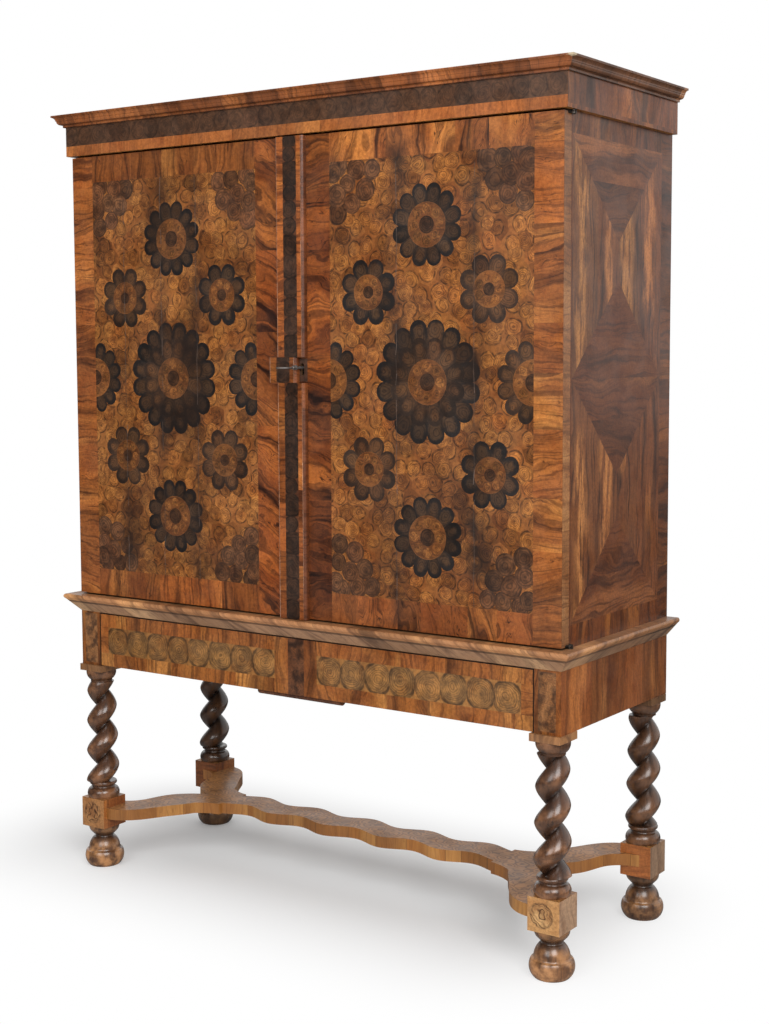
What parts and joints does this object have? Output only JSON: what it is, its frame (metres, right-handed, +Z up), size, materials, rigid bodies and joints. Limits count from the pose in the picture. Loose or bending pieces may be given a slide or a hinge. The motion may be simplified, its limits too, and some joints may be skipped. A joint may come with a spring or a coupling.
{
  "type": "cabinet on stand",
  "caption": "Two-door cabinet in oyster veneer on a stand with a long drawer, barley-twist legs and a flat wavy stretcher.",
  "frame": {"origin": "on the floor, under the middle of the whole object's box, with the key in its keyhole", "axes": "+Z up, front towards -Y, +X to the right seen from the front"},
  "size_m": [1.3884, 0.5632, 1.8],
  "materials": {
    "turned_walnut": "polished",
    "stretcher_veneer": "polished",
    "side_veneer": "polished",
    "oyster_veneer": "polished",
    "cross_grain_moulding": "polished",
    "carcase_oak": "bare, aged",
    "wrought_iron": "dull, dark"
  },
  "bodies": {
    "root": {"foot_front_left": "turned_walnut", "foot_front_right": "turned_walnut", "foot_back_left": "turned_walnut", "foot_back_right": "turned_walnut", "block_front_left": "stretcher_veneer", "block_front_right": "stretcher_veneer", "block_back_left": "stretcher_veneer", "block_back_right": "stretcher_veneer", "leg_front_left": "turned_walnut", "leg_front_right": "turned_walnut", "leg_back_left": "turned_walnut", "leg_back_right": "turned_walnut", "leg_caps": "stretcher_veneer", "stretcher_spine": "stretcher_veneer", "stretcher_yoke_left": "stretcher_veneer", "stretcher_yoke_right": "stretcher_veneer", "stand_side_left": "side_veneer", "stand_side_right": "side_veneer", "stand_back": "carcase_oak", "stand_front_frame": "oyster_veneer", "stand_top": "carcase_oak", "waist_moulding_front": "cross_grain_moulding", "waist_moulding_left": "cross_grain_moulding", "waist_moulding_right": "cross_grain_moulding", "drawer_runners": "carcase_oak", "case_side_left": "side_veneer", "case_side_right": "side_veneer", "case_top_board": "carcase_oak", "case_bottom_board": "carcase_oak", "case_back_boards": "carcase_oak", "shelves": "carcase_oak", "shelf_bearers": "carcase_oak", "case_pivots": "wrought_iron", "cornice_frieze": "oyster_veneer", "cornice_dust_board": "carcase_oak", "crown_moulding_front": "cross_grain_moulding", "crown_moulding_left": "cross_grain_moulding", "crown_moulding_right": "cross_grain_moulding"},
    "drawer": {"drawer_front": "oyster_veneer", "drawer_side_left": "carcase_oak", "drawer_side_right": "carcase_oak", "drawer_back": "carcase_oak", "drawer_bottom": "carcase_oak", "drawer_grip": "cross_grain_moulding"},
    "left_door": {"left_door_board": "carcase_oak", "left_door_marquetry": "oyster_veneer", "left_door_pivots": "wrought_iron", "left_bolt_staples": "wrought_iron"},
    "left_top_bolt": {"left_bolt_top": "wrought_iron"},
    "left_bottom_bolt": {"left_bolt_bottom": "wrought_iron"},
    "right_door": {"right_door_board": "carcase_oak", "right_door_marquetry": "oyster_veneer", "right_door_pivots": "wrought_iron", "astragal": "oyster_veneer", "keyhole_plate": "wrought_iron", "lock_case": "wrought_iron"},
    "keyhole_cover": {"keyhole_cover": "oyster_veneer"},
    "lock_bolt": {"lock_bolt": "wrought_iron"},
    "key_pin": {"lock_pin": "wrought_iron"},
    "key": {"key": "wrought_iron"}
  },
  "joints": [
    {"name": "right_door_swing", "type": "hinge", "parent": "root", "child": "right_door", "pos_m": [0.6615, -0.17255, 0.672], "axis": [0, 0, 1], "range_deg": [0, 170]},
    {"name": "left_door_swing", "type": "hinge", "parent": "root", "child": "left_door", "pos_m": [-0.6615, -0.17255, 0.672], "axis": [0, 0, 1], "range_deg": [-170, 0]},
    {"name": "drawer_slide", "type": "slide", "parent": "root", "child": "drawer", "axis": [0, -1, 0], "range_m": [0, 0.3]},
    {"name": "key_turn", "type": "hinge", "parent": "right_door", "child": "key_pin", "pos_m": [0.025, -0.18005, 1.214], "axis": [0, -1, 0], "range_deg": [0, 180]},
    {"name": "key_draw", "type": "slide", "parent": "key_pin", "child": "key", "axis": [0, -1, 0], "range_m": [0, 0.22]},
    {"name": "cover_slide", "type": "slide", "parent": "right_door", "child": "keyhole_cover", "axis": [1, 0, 0], "range_m": [0, 0.022]},
    {"name": "lock_bolt_slide", "type": "slide", "parent": "right_door", "child": "lock_bolt", "axis": [-1, 0, 0], "range_m": [0, 0.012]},
    {"name": "left_top_bolt_slide", "type": "slide", "parent": "left_door", "child": "left_top_bolt", "axis": [0, 0, 1], "range_m": [0, 0.016]},
    {"name": "left_bottom_bolt_slide", "type": "slide", "parent": "left_door", "child": "left_bottom_bolt", "axis": [0, 0, -1], "range_m": [0, 0.016]}
  ],
  "couplings": [
    {"joint": "left_door_swing", "follows": "right_door_swing", "ratio": -1},
    {"joint": "cover_slide", "follows": "key_draw", "ratio": 0.1},
    {"joint": "lock_bolt_slide", "follows": "key_turn", "m_per_rad": 0.0038197}
  ]
}
